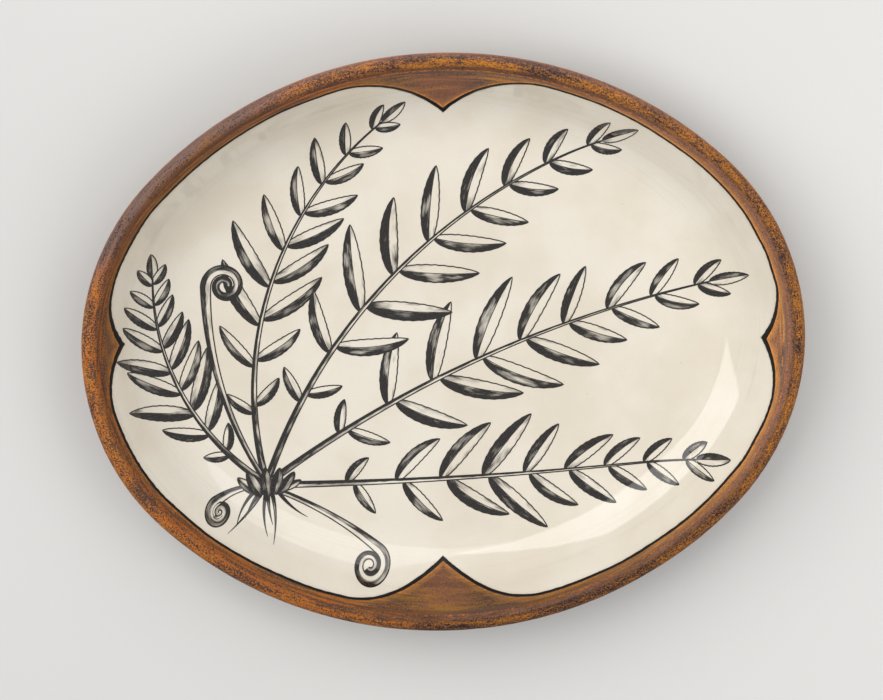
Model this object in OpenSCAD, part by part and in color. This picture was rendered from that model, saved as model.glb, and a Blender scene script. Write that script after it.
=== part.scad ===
// Oval serving dish of fired clay, lying on its foot.
// The outline is an oval of four arcs. One cross-section is swept round it, and the well floor closes it.
// The glazes are thin coats on the clay. A black painted line parts the cream field from the rust border,
// and the field has a pointed cusp in the middle of each side.

/* [Outline] */
// Overall length over the glazed rim
dish_len = 380; // [340:2:420]
// Overall width over the glazed rim
dish_wid = 310; // [290:2:330]

/* [Section] */
// Overall height from the table to the top of the rim
height = 44; // [40:1:56]
// Width of the rounded rim coil over its glaze
rim_w = 9.5; // [8:0.5:12]
// Thickness of the wall and floor over both glazes
wall_t = 6.5; // [5:0.25:8]
// Slope of the upper wall from the level, in degrees
wall_slope = 52; // [46:1:58]
// Radius of the hollow curve that turns the wall into the floor
well_r = 36; // [26:1:40]
// How far up the inner side of the rim coil the wall meets it, in degrees above level
crease_angle = 10; // [0:1:20]

/* [Foot] */
// Height of the foot ring under the floor
foot_h = 4.5; // [3:0.5:7]
// Width of the foot ring
foot_w = 7; // [5:0.5:10]
// Distance of the foot ring's outer face in from the edge of the rim
foot_inset = 46; // [42:1:52]
// Chamfer on the two lower edges of the foot ring
foot_chamfer = 1; // [0.5:0.25:1.5]

/* [Glaze] */
// Thickness of both glaze coats
glaze_t = 0.5; // [0.3:0.05:0.8]
// Width of bare wall left between the outer glaze and the foot ring
bare_w = 3; // [1:0.5:6]

/* [Cream field] */
// Distance of the cream field's border in from the edge of the rim, away from the cusps
border_inset = 12; // [11:0.25:15]
// How far the two cusps on the long sides reach further in
long_cusp = 21.5; // [12:0.5:26]
// Half the stretch of rim over which a long-side cusp grows
long_cusp_reach = 58; // [44:1:66]
// How far the two cusps at the ends reach further in
end_cusp = 8.5; // [4:0.5:14]
// Half the stretch of rim over which an end cusp grows
end_cusp_reach = 38; // [28:1:46]
// How far the long-side cusps sit off the middle of their side
long_cusp_lean = 6; // [0:0.5:10]
// How far the end cusps sit off the middle of their end
end_cusp_lean = 7; // [0:0.5:10]

/* [Border line] */
// Width of the painted line away from the cusps
line_w = 1.1; // [0.6:0.1:2]
// Extra width of the painted line at a cusp
line_swell = 1.6; // [0:0.1:2.5]
// How far the painted line stands above the glazes
line_rise = 0.15; // [0.05:0.05:0.4]

/* [Hidden] */
$fn = 180;

// Overrun of the cutting shapes past what they cut, and of the floor plate into the sweep
over = 2;

// The four arcs meet on lines at 45 degrees. Their centres lie arc_x from the middle, on the two axes.
// That distance is kept to whole thousandths. The radii differ by centre_gap, the distance between the
// centres of two arcs that meet, which is laid off in a coarse and a fine step. So no rounding parts the arcs
MEET = 45;
COARSE = 100;
FINE = 1000;
arc_x = round((dish_len - dish_wid) / 2 / (2 - sqrt(2)) * FINE) / FINE;
end_r = dish_len / 2 - arc_x;
centre_gap = arc_x * sqrt(2);
coarse_gap = floor(centre_gap * COARSE) / COARSE;
side_r = end_r + centre_gap;

// Heights and distances of the section, measured in from the edge of the rim
rim_r = rim_w / 2;
rim_z = height - rim_r;
floor_z = foot_h + wall_t;
well_z = floor_z + well_r;
crease_in = rim_r + rim_r * cos(crease_angle);
crease_z = rim_z + rim_r * sin(crease_angle);
straight_len = (crease_z - floor_z - well_r * (1 - cos(wall_slope))) / sin(wall_slope);
floor_in = crease_in + straight_len * cos(wall_slope) + well_r * sin(wall_slope);
sweep_in = max(floor_in, foot_inset + foot_w) + over;

// Chords along the wall's curve, round the part of the coil that shows, along its seat, and along the
// field's border from cusp to cusp
WALL_STEPS = 10;
COIL_STEPS = 24;
SEAT_STEPS = 6;
BORDER_STEPS = 45;

// Turn from one corner of the floor plate to the next
PLATE_TURN = 10;

// Each cusp: the outward direction where it stands, its depth, half its stretch and its arc's radius
long_lean_angle = asin(long_cusp_lean / (side_r - border_inset - long_cusp));
end_lean_angle = asin(end_cusp_lean / (end_r - border_inset - end_cusp));
CUSPS = [
    [-end_lean_angle, end_cusp, end_cusp_reach, end_r],
    [90 - long_lean_angle, long_cusp, long_cusp_reach, side_r],
    [180 - end_lean_angle, end_cusp, end_cusp_reach, end_r],
    [270 - long_lean_angle, long_cusp, long_cusp_reach, side_r]
];

// Angle between two directions, from 0 to 180
function turn_between(a, b) = abs(((a - b) % 360 + 540) % 360 - 180);

// How near a direction is to a cusp: 1 at its point, falling as a parabola to 0 at the end of its stretch
function cusp_share(dir, cusp) =
    pow(max(0, 1 - turn_between(dir, cusp[0]) * PI / 180 * cusp[3] / cusp[2]), 2);

// How far in the field's border lies at a direction
function border_in(dir) = border_inset + max([for (cusp = CUSPS) cusp[1] * cusp_share(dir, cusp)]);

// Half the width of the painted line at a direction
function line_half(dir) = (line_w + line_swell * max([for (cusp = CUSPS) cusp_share(dir, cusp)])) / 2;

// Point of the oval whose outward direction is dir, moved in by inset
function rim_point(dir, inset) =
    let (at_end = turn_between(dir, 0) < MEET || turn_between(dir, 180) < MEET)
    let (r = (at_end ? end_r : side_r) - inset)
    let (cx = at_end ? arc_x * sign(cos(dir)) : 0)
    let (cy = at_end ? 0 : -arc_x * sign(sin(dir)))
    [cx + r * cos(dir), cy + r * sin(dir)];

// Directions all round the rim, in equal steps from cusp to cusp
function border_dirs() = [
    for (i = [0 : len(CUSPS) - 1])
        let (a = CUSPS[i][0])
        let (b = i == len(CUSPS) - 1 ? CUSPS[0][0] + 360 : CUSPS[i + 1][0])
        for (k = [0 : BORDER_STEPS - 1]) a + (b - a) * k / BORDER_STEPS
];

// Prism of the cream field. Side is 1 for the outer edge of the painted line and -1 for its inner edge
module field_prism(side) {
    translate([0, 0, foot_h])
        linear_extrude(height)
            polygon([for (dir = border_dirs()) rim_point(dir, border_in(dir) - side * line_half(dir))]);
}

// Sweeps a section round the oval. In the section, x is 0 at the edge of the rim and negative inside it
module sweep() {
    for (side = [0, 180]) rotate(side) {
        translate([arc_x, 0])
            rotate_extrude(angle = 2 * MEET, start = -MEET)
                translate([end_r, 0]) children();
        translate([0, -arc_x])
            rotate_extrude(angle = 2 * MEET, start = MEET)
                translate([coarse_gap, 0]) translate([centre_gap - coarse_gap, 0])
                    translate([end_r, 0]) children();
    }
}

// Points of the wall's face at one distance from the middle of the well's curve, from the angle low up to
// the straight band, then up that band by rise
function wall_face(r, low, rise) = concat(
    [for (k = [0 : WALL_STEPS])
        let (a = low + (wall_slope - low) * k / WALL_STEPS)
        [r * sin(a) - floor_in, well_z - r * cos(a)]],
    [[r * sin(wall_slope) + rise * cos(wall_slope) - floor_in,
        well_z - r * cos(wall_slope) + rise * sin(wall_slope)]]);

// Distance of a wall face from the coil's middle, square to the wall. Depth is counted from the glazed inside
function face_off(depth) = depth - rim_r * sin(wall_slope + crease_angle);

// Direction round the coil in which that face meets a coil of radius r, from below
function meet_dir(depth, r) = wall_slope - 180 + asin(face_off(depth) / r);

// How far up the straight band that face runs before it meets the coil
function band_rise(depth, r) =
    straight_len + rim_r * cos(wall_slope + crease_angle) - sqrt(pow(r, 2) - pow(face_off(depth), 2));

// Points round the coil from one direction to another, without the first and the last
function coil_arc(r, from, to, steps) = [
    for (k = [1 : steps - 1])
        let (a = from + (to - from) * k / steps)
        [r * cos(a) - rim_r, rim_z + r * sin(a)]
];

// Points in the opposite order
function reversed(points) = [for (i = [len(points) - 1 : -1 : 0]) points[i]];

// The inner and the outer face of the clay, up to the coil, and the coil's two meeting directions
clay_r = rim_r - glaze_t;
outer_depth = wall_t - glaze_t;
clay_in_dir = meet_dir(glaze_t, clay_r);
clay_out_dir = meet_dir(outer_depth, clay_r);
clay_inside = wall_face(well_r + glaze_t, 0, band_rise(glaze_t, clay_r));

function clay_outside(low) = wall_face(well_r + outer_depth, low, band_rise(outer_depth, clay_r));

// Angle on a face of the outer wall at which the glaze stops, above the bare band
function bare_angle(r) = asin((floor_in - foot_inset + bare_w) / r);

// Section of a coat over the inside, from the floor to the crest of the coil, standing rise above the glaze
module inside_section(rise) {
    top_r = rim_r + rise;
    polygon(concat(
        [[-sweep_in, floor_z + rise]],
        wall_face(well_r - rise, 0, band_rise(-rise, top_r)),
        coil_arc(top_r, meet_dir(-rise, top_r) + 360, 90, COIL_STEPS),
        [[-rim_r, rim_z + top_r], [-rim_r, rim_z + clay_r]],
        reversed(coil_arc(clay_r, clay_in_dir + 360, 90, COIL_STEPS)),
        reversed(clay_inside),
        [[-sweep_in, floor_z - glaze_t]]));
}

// Section of a coat over the outside, from the crest of the coil down to the bare band
module outside_section() {
    polygon(concat(
        [[-rim_r, rim_z + clay_r], [-rim_r, height]],
        coil_arc(rim_r, 90, meet_dir(wall_t, rim_r), COIL_STEPS),
        reversed(wall_face(well_r + wall_t, bare_angle(well_r + wall_t), band_rise(wall_t, rim_r))),
        clay_outside(bare_angle(well_r + outer_depth)),
        reversed(coil_arc(clay_r, 90, clay_out_dir, COIL_STEPS))));
}

// Section of the clay wall, from the floor to its seat under the coil
module shell_section() {
    polygon(concat(
        [[-sweep_in, floor_z - glaze_t]],
        clay_inside,
        coil_arc(clay_r, clay_in_dir, clay_out_dir, SEAT_STEPS),
        reversed(clay_outside(0)),
        [[-sweep_in, foot_h + glaze_t]]));
}

// Section of the clay coil, with the wall's seat along its underside
module coil_section() {
    polygon(concat(
        [last(clay_inside)],
        coil_arc(clay_r, clay_in_dir, clay_out_dir, SEAT_STEPS),
        [last(clay_outside(0))],
        coil_arc(clay_r, clay_out_dir, 90, COIL_STEPS),
        [[-rim_r, rim_z + clay_r]],
        coil_arc(clay_r, 90, clay_in_dir + 360, COIL_STEPS)));
}

function last(points) = points[len(points) - 1];

// Section of the foot ring, whose top follows the underside of the shell
module foot_section() {
    r = well_r + outer_depth;
    low = asin(max(0, floor_in - foot_inset) / r);
    back = -foot_inset - foot_w;
    polygon(concat(
        [[back, foot_h + glaze_t]],
        [for (k = [0 : SEAT_STEPS])
            let (a = low * k / SEAT_STEPS)
            [r * sin(a) - floor_in, well_z - r * cos(a)]],
        [[-foot_inset, foot_chamfer], [-foot_inset - foot_chamfer, 0], [back + foot_chamfer, 0],
            [back, foot_chamfer]]));
}

// Floor plate from one height to another, lapped into the sweep
module floor_plate(bottom, top) {
    translate([0, 0, bottom])
        linear_extrude(top - bottom)
            polygon([for (dir = [0 : PLATE_TURN : 360 - PLATE_TURN]) rim_point(dir, sweep_in - over)]);
}

// A coat over the whole of the inside
module inside_coat(rise) {
    sweep() inside_section(rise);
    floor_plate(floor_z - glaze_t, floor_z + rise);
}

// The pressed clay shell: wall and floor, seated under the coil
module dish_shell() color("#c9ab8a") {
    sweep() shell_section();
    floor_plate(foot_h + glaze_t, floor_z - glaze_t);
}

// The coil of clay that makes the rounded rim
module rim_coil() color("#c4a380") sweep() coil_section();

// The foot ring under the floor
module foot_ring() color("#c4a380") sweep() foot_section();

// The cream glaze of the cusped field
module cream_glaze() color("#e3dccd") {
    intersection() {
        inside_coat(0);
        field_prism(-1);
    }
}

// The rust glaze of the border, the rim and the outside
module rust_glaze() color("#8a5228") {
    difference() {
        inside_coat(0);
        field_prism(1);
    }
    sweep() outside_section();
}

// The painted line between the two glazes
module border_line() color("#1f1b18") {
    intersection() {
        inside_coat(line_rise);
        difference() {
            field_prism(1);
            field_prism(-1);
        }
    }
}

dish_shell();
rim_coil();
foot_ring();
cream_glaze();
rust_glaze();
border_line();
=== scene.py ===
"""Oval serving dish: its glaze coats, painted line and pencil drawing, built round the packed clay parts."""
import math

import bpy
import numpy as np
from bpy.props import FloatProperty, FloatVectorProperty, IntProperty, PointerProperty
from mathutils import Matrix, Vector


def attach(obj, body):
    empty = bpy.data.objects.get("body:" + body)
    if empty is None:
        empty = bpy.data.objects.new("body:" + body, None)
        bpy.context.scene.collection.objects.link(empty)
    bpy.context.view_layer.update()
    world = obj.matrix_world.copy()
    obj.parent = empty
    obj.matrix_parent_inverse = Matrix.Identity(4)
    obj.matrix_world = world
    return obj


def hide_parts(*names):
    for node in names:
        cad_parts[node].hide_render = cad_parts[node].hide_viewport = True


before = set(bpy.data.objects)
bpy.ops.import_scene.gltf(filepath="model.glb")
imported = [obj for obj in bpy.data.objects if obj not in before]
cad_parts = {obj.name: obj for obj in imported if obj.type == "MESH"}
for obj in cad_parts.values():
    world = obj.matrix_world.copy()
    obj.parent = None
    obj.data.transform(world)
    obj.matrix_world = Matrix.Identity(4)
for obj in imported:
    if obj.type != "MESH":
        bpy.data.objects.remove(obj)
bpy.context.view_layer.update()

bl_info = {
    "name": "Oval serving dish",
    "version": (1, 0, 0),
    "blender": (4, 5, 0),
    "location": "3D View > Sidebar > Dish",
    "description": "Builds the glazes, the painted line and the drawing of an oval serving dish",
    "category": "Add Mesh",
}

MM = 0.001


# Sizes and colours that a user would change

def linear(code):
    """Linear RGBA of a six-digit screen colour: a channel c is c/12.92 up to 0.04045, else ((c+0.055)/1.055)^2.4."""
    c = np.array([int(code[i:i + 2], 16) for i in (0, 2, 4)]) / 255
    return (*np.where(c <= 0.04045, c / 12.92, ((c + 0.055) / 1.055) ** 2.4).tolist(), 1.0)


def length(name, description, default):
    return FloatProperty(name=name, description=description, default=default * MM, min=0, subtype="DISTANCE",
                         unit="LENGTH", precision=5)


def angle(name, description, degrees):
    return FloatProperty(name=name, description=description, default=math.radians(degrees), subtype="ANGLE",
                         unit="ROTATION")


def colour(name, description, code):
    return FloatVectorProperty(name=name, description=description, default=linear(code), size=4, min=0, max=1,
                               subtype="COLOR")


class DishSizes(bpy.types.PropertyGroup):
    """Sizes of the dish, the same as in its solids but for the coat and its hold in"""
    length: length("Length", "Overall length over the glazed rim", 380)
    width: length("Width", "Overall width over the glazed rim", 310)
    height: length("Height", "From the table to the top of the rim", 44)
    rim_width: length("Rim width", "Width of the rounded rim coil over its glaze", 9.5)
    wall: length("Wall", "Thickness of the wall and floor over both glazes", 6.5)
    wall_slope: angle("Wall slope", "Slope of the upper wall from the level", 52)
    well_radius: length("Well radius", "Radius of the hollow curve from the wall into the floor", 36)
    crease_angle: angle("Crease angle", "How far up the inner side of the coil the wall meets it", 10)
    foot_height: length("Foot height", "Height of the foot ring under the floor", 4.5)
    foot_inset: length("Foot inset", "Distance of the foot ring in from the edge of the rim", 46)
    bare_band: length("Bare band", "Width of bare wall between the outer glaze and the foot ring", 3)
    coat: length("Coat", "Thickness of the glaze coats in the scene", 0.4)
    hold_in: length("Hold in", "How far the coat keeps inside the solids' box", 0.1)
    border_inset: length("Border inset", "Distance of the field's border in from the edge of the rim", 12)
    long_cusp: length("Long cusp", "How far the cusps on the long sides reach further in", 21.5)
    long_reach: length("Long cusp reach", "Half the stretch of rim over which such a cusp grows", 58)
    long_lean: length("Long cusp lean", "How far such a cusp sits off the middle of its side", 6)
    end_cusp: length("End cusp", "How far the cusps at the ends reach further in", 8.5)
    end_reach: length("End cusp reach", "Half the stretch of rim over which such a cusp grows", 38)
    end_lean: length("End cusp lean", "How far such a cusp sits off the middle of its end", 7)
    line_width: length("Line width", "Width of the painted line away from the cusps", 1.1)
    line_swell: length("Line swell", "Extra width of the painted line at a cusp", 1.6)
    line_rise: length("Line rise", "How far the painted line stands above the glazes", 0.15)


class DishColours(bpy.types.PropertyGroup):
    """Colours of the glazes, the drawing and the clay"""
    cream: colour("Cream", "Glossy glaze of the field", "E2DACB")
    cream_warm: colour("Warm cream", "Where the cream glaze lies thicker", "DAD0BE")
    glow: colour("Glow", "Brightest specks of the rust glaze", "BE7A2C")
    ochre: colour("Ochre", "Orange of the rust glaze", "A5661C")
    rust: colour("Rust", "Main orange brown of the rust glaze", "7C4A1F")
    umber: colour("Umber", "Drab brown streaks of the rust glaze", "7B5E3A")
    brick: colour("Brick", "Reddish brown of the cusps", "915C41")
    rose: colour("Rose", "Pink orange streak along the crease", "A66E50")
    tan: colour("Tan", "Orange tan band beside the painted line", "B07A42")
    plum: colour("Plum", "Grey plum streaks of the rust glaze", "67524D")
    # Painted sheen: this greyish pink stands for a highlight along the outer edge of the coil.
    painted_lilac_sheen: colour("Lilac", "Greyish pink bloom on the outer edge", "8A6F6B")
    charcoal: colour("Charcoal", "Darkest specks of the rust glaze", "33261F")
    edge: colour("Edge", "Thin bright edge beside the painted line", "C27A38")
    line: colour("Line", "Black painted line", "100E0D")
    pencil: colour("Pencil", "Darkest tone of the drawing", "14100F")
    clay: colour("Clay", "Fired clay", "B08A66")
    floor: colour("Floor", "Pale floor", "D9D8D5")


class DrawingSettings(bpy.types.PropertyGroup):
    """The fern clump drawn on the field"""
    pairs: IntProperty(name="Leaflet pairs", description="Pairs of leaflets on each frond", default=9, min=4, max=30)
    leaflet_width: length("Leaflet width", "Half the width of a leaflet of full length", 8.8)
    stem_width: length("Stem width", "Half the width of a stem at its foot", 2.0)
    lift: length("Lift", "How far the drawing stands above the cream glaze", 0.08)


# Tones within the glazes, the clay and the floor that no setting changes
TONES = {name: linear(code) for name, code in {
    "smoothing ring": "A79C88", "cream grain": "8E8474", "cream speck": "7C5E42", "pooled cream": "B3A48C",
    "grey_fringe": "4A4540", "wall dark": "4D3E39", "drab ochre": "A2752F", "corner painted sheen": "7B6761",
    # Painted light among these tones: the grey of the far left corner is a painted sheen, and the dark brown wash is
    # painted shade.
    "corner smooth": "684A3C", "shade": "45352F", "crease dot": "C97238", "outer band": "B9764A",
    "painted shade wash": "5A3C1C", "orange streak": "C0691F", "dark streak": "4B3A34", "brush black": "2B2420",
    "toasted clay": "8C5E3E", "pale grain": "D6BC98", "clay iron": "4B3224", "floor cloud": "CFCECB",
}.items()}


# Shape of the dish, as functions on arrays, in millimetres

def ripple(turn, lowest, highest, seed):
    """Sum of cosines of lowest to highest waves round the rim, with seeded weights and phases, mostly in -1 to 1."""
    random = np.random.default_rng(seed)
    waves = np.arange(lowest, highest + 1)
    phase, weight = random.uniform(0, 2 * np.pi, len(waves)), random.normal(size=len(waves))
    total = (weight * np.cos(np.multiply.outer(turn, waves) + phase)).sum(-1)
    return total / np.sqrt(2 * (weight ** 2).sum())


def smooth_step(value, low, high):
    """0 below low and 1 above high, with 3t^2 - 2t^3 between them."""
    t = np.clip((value - low) / (high - low), 0, 1)
    return t * t * (3 - 2 * t)


class DishShape:
    """The oval of four arcs, the section that is swept round it and the border of the field."""

    def __init__(self, sizes):
        def mm(name):
            return getattr(sizes, name) / MM
        self.half_length = mm("length") / 2
        self.arc_x = (mm("length") - mm("width")) / 2 / (2 - math.sqrt(2))
        self.end_r = self.half_length - self.arc_x
        self.side_r = self.end_r + self.arc_x * math.sqrt(2)
        self.border_inset, self.hold_in = mm("border_inset"), mm("hold_in")
        self.line_width, self.line_swell, self.line_rise = mm("line_width"), mm("line_swell"), mm("line_rise")
        lean_long = math.asin(mm("long_lean") / (self.side_r - self.border_inset - mm("long_cusp")))
        lean_end = math.asin(mm("end_lean") / (self.end_r - self.border_inset - mm("end_cusp")))
        self.cusp_turn = np.array([0, np.pi / 2, np.pi, 3 * np.pi / 2]) - np.tile([lean_end, lean_long], 2)
        self.cusp_depth = np.tile([mm("end_cusp"), mm("long_cusp")], 2)
        self.cusp_span = np.tile([mm("end_reach") / self.end_r, mm("long_reach") / self.side_r], 2)
        self.section(mm("rim_width") / 2, mm("wall"), sizes.wall_slope, mm("well_radius"), sizes.crease_angle,
                     mm("foot_height"), mm("height"), mm("foot_inset") - mm("bare_band"))

    def section(self, rim_r, wall, slope, well_r, crease, foot_height, height, glaze_end):
        """Face of the section as run, inset and height. Run is the length along it, 0 at the crease: from the floor
        round the well's curve, up the straight band, over the coil and down the outer wall to the end of the glaze.
        Corners are rounded by averaging the points with a bell curve along the run."""
        rim_z, floor_z = height - rim_r, foot_height + wall
        well_z = floor_z + well_r
        crease_in, crease_z = rim_r + rim_r * math.cos(crease), rim_z + rim_r * math.sin(crease)
        straight = (crease_z - floor_z - well_r * (1 - math.cos(slope))) / math.sin(slope)
        floor_in = crease_in + straight * math.cos(slope) + well_r * math.sin(slope)
        outer_r = well_r + wall
        meet = slope - np.pi + math.asin((wall - rim_r * math.sin(slope + crease)) / rim_r)
        down = np.linspace(0, slope, 80)
        over = np.linspace(np.pi - crease, meet, 160)
        under = np.linspace(slope, math.asin((floor_in - glaze_end) / outer_r), 80)
        inset = np.concatenate([[floor_in + well_r], floor_in - well_r * np.sin(down), rim_r - rim_r * np.cos(over),
                                floor_in - outer_r * np.sin(under)])
        z = np.concatenate([[floor_z], well_z - well_r * np.cos(down), rim_z + rim_r * np.sin(over),
                            well_z - outer_r * np.cos(under)])
        run = np.concatenate([[0], np.cumsum(np.hypot(np.diff(inset), np.diff(z)))])
        at_crease, at_join = run[1 + len(down)], run[len(down) + len(over)]
        step, reach, spread = 0.05, 28, 0.36
        even = np.arange(0, run[-1], step)
        inset, z = np.interp(even, run, inset), np.interp(even, run, z)
        bell = np.exp(-0.5 * (np.arange(-reach, reach + 1) * step / spread) ** 2)
        bell /= bell.sum()
        self.run = even[reach:-reach] - at_crease
        self.run_inset = np.convolve(inset, bell, "valid")
        self.run_z = np.convolve(z, bell, "valid")
        self.join = at_join - at_crease
        self.crest = rim_r * (np.pi / 2 - crease)
        self.floor_in, self.floor_z = floor_in, floor_z

    def oval(self, turn, inset):
        """Point whose outward direction is turn: the centre of the arc that holds that direction, plus the arc's
        radius less the inset along it. The end arcs' centres are at x = +-arc_x, the side arcs' at y = -+arc_x."""
        c, s = np.cos(turn), np.sin(turn)
        at_end = np.abs(c) >= np.abs(s)
        r = np.where(at_end, self.end_r, self.side_r) - inset
        return (np.where(at_end, self.arc_x * np.sign(c), 0) + r * c,
                np.where(at_end, 0, -self.arc_x * np.sign(s)) + r * s)

    def place(self, x, y):
        """Turn and inset of points: the direction from the centre of the arc that holds them, and the arc's radius
        less the distance from it."""
        at_end = np.abs(y) <= np.abs(x) - self.arc_x
        dx = x - np.where(at_end, self.arc_x * np.sign(x), 0)
        dy = y + np.where(at_end, 0, self.arc_x * np.sign(y))
        return np.arctan2(dy, dx), np.where(at_end, self.end_r, self.side_r) - np.hypot(dx, dy)

    def turns(self, steps):
        """Directions all round the rim, in equal steps from cusp to cusp."""
        ends = np.append(self.cusp_turn[1:], self.cusp_turn[0] + 2 * np.pi)
        share = np.arange(steps) / steps
        return (self.cusp_turn[:, None] + (ends - self.cusp_turn)[:, None] * share).ravel()

    def cusps(self, turn):
        """How near each direction is to each cusp: (1 - angle/span)^2, and 0 past the span."""
        off = np.abs((turn[..., None] - self.cusp_turn + np.pi) % (2 * np.pi) - np.pi)
        return np.clip(1 - off / self.cusp_span, 0, None) ** 2

    def border(self, turn):
        """Inset of the painted line's middle: the border's inset plus each cusp's depth by its share, plus a small
        wander of the brush."""
        near = self.cusps(turn)
        wander = 0.22 * ripple(turn, 5, 40, 11) * (1 - near.max(-1)) ** 2
        return self.border_inset + (self.cusp_depth * near).max(-1) + wander

    def height(self, x, y):
        """Height of the inner face: the section's height at the inset, plus slow waves left by the maker's hands,
        which fade out towards the border."""
        turn, inset = self.place(x, y)
        wave_height, inside = 0.018, self.run < 0
        z = np.interp(inset, self.run_inset[inside][::-1], self.run_z[inside][::-1])
        wave = (np.sin(x / 9.7 + y / 17.3 + 1.1) + np.sin(x / 14.1 - y / 8.3 + 0.4)
                + np.sin(x / 6.3 + y / 23.0 + 2.9) * 0.6 + np.sin(x / 31.0 + y / 5.9 + 4.2) * 0.5)
        return z + wave_height * wave * smooth_step(inset - self.border(turn), 1, 16)

    def run_at(self, inset):
        """Run of the inner face at an inset."""
        inside = self.run < 0
        return np.interp(inset, self.run_inset[inside][::-1], self.run[inside][::-1])

    def lean(self, turn):
        """Cosine of the border's slant to the rim, from the change of its inset along the rim."""
        small = 0.002
        change = (self.border(turn + small) - self.border(turn - small)) / (2 * small)
        radius = np.where(np.abs(np.cos(turn)) >= np.abs(np.sin(turn)), self.end_r, self.side_r) - self.border_inset
        return 1 / np.sqrt(1 + (change / radius) ** 2)


# Meshes

def loop_quads(turns, rows, closed):
    """Quads of a grid of turns by rows, closed in the turns and, where asked, in the rows too."""
    i, j = np.meshgrid(np.arange(turns), np.arange(rows if closed else rows - 1), indexing="ij")
    i2, j2 = (i + 1) % turns, (j + 1) % rows
    return np.stack([i * rows + j, i * rows + j2, i2 * rows + j2, i2 * rows + j], -1).reshape(-1, 4)


def make_piece(name, points, faces, material, nodes=(), attributes=None, sharp=40):
    """A mesh piece in millimetres, shaded smooth but for its sharp edges, that rides on the dish."""
    mesh = bpy.data.meshes.new(name)
    mesh.from_pydata((points * MM).tolist(), [], faces)
    mesh.polygons.foreach_set("use_smooth", np.ones(len(mesh.polygons), bool))
    for key, values in (attributes or {}).items():
        layer = mesh.attributes.new(key, "FLOAT_VECTOR", "POINT")
        layer.data.foreach_set("vector", np.ascontiguousarray(values, np.float32).ravel())
    mesh.set_sharp_from_angle(angle=math.radians(sharp))
    mesh.materials.append(material)
    mesh.validate()
    piece = bpy.data.objects.new(name, mesh)
    bpy.context.scene.collection.objects.link(piece)
    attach(piece, "root")
    if nodes:
        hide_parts(*nodes)
    return piece


def flow_at(shape, turn, along):
    """Flow coordinates in millimetres: the turn laid on a circle of the rim's mean radius, and the run across it."""
    radius = (shape.end_r + shape.side_r) / 2
    return np.stack([radius * np.cos(turn), radius * np.sin(turn), along], -1)


# Points across a strip, on its raised face and under the glaze. How far one strip lies above the next, and how far
# their undersides lie below the glaze's surface.
COLUMNS, UNDER = 5, 2
LAYER, SUNK = 0.012, 0.06


def strips(shape, centre, heading, half_width, lift, tone, columns=COLUMNS):
    """Closed thin strips that follow the glaze. Each station's points lie across the centre line, at shares -1 to 1
    of the half width along the left normal of its heading, lifted above the glaze, and two more lie under the
    glaze. Gives the points, the faces and the stroke attributes."""
    count, stations = heading.shape
    share = np.append(np.linspace(-1, 1, columns), [1, -1])
    raised = np.append(np.ones(columns), np.zeros(UNDER))
    across = share * half_width[..., None]
    x = centre[..., 0, None] - np.sin(heading)[..., None] * across
    y = centre[..., 1, None] + np.cos(heading)[..., None] * across
    z = shape.height(x, y) + np.where(raised > 0, lift[:, None, None], -SUNK)
    along = np.concatenate([np.zeros((count, 1)), np.cumsum(
        np.hypot(np.diff(centre[..., 0]), np.diff(centre[..., 1])), 1)], 1)
    part = along / along[:, -1:]
    ring = len(share)
    points = np.stack([x, y, z], -1).reshape(-1, 3)
    b, i, j = np.meshgrid(np.arange(count), np.arange(stations - 1), np.arange(ring), indexing="ij")
    at = (b * stations + i) * ring
    j2 = (j + 1) % ring
    quads = np.stack([at + j, at + ring + j, at + ring + j2, at + j2], -1).reshape(-1, 4).tolist()
    first = (np.arange(count) * stations * ring)[:, None] + np.arange(ring)
    last = first + (stations - 1) * ring
    faces = quads + first.tolist() + last[:, ::-1].tolist()
    turn, inset = shape.place(x, y)
    attributes = {
        "stroke": np.stack(np.broadcast_arrays(share, part[..., None], tone[:, None, None]), -1).reshape(-1, 3),
        "stroke_mm": np.stack(np.broadcast_arrays(across, along[..., None], half_width[..., None]),
                              -1).reshape(-1, 3),
        "flow": flow_at(shape, turn, inset).reshape(-1, 3),
        "place": np.stack(np.broadcast_arrays(inset, inset - shape.border(turn),
                                              shape.cusps(turn).max(-1)), -1).reshape(-1, 3),
    }
    return points, faces, attributes


# Shader helpers

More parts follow.
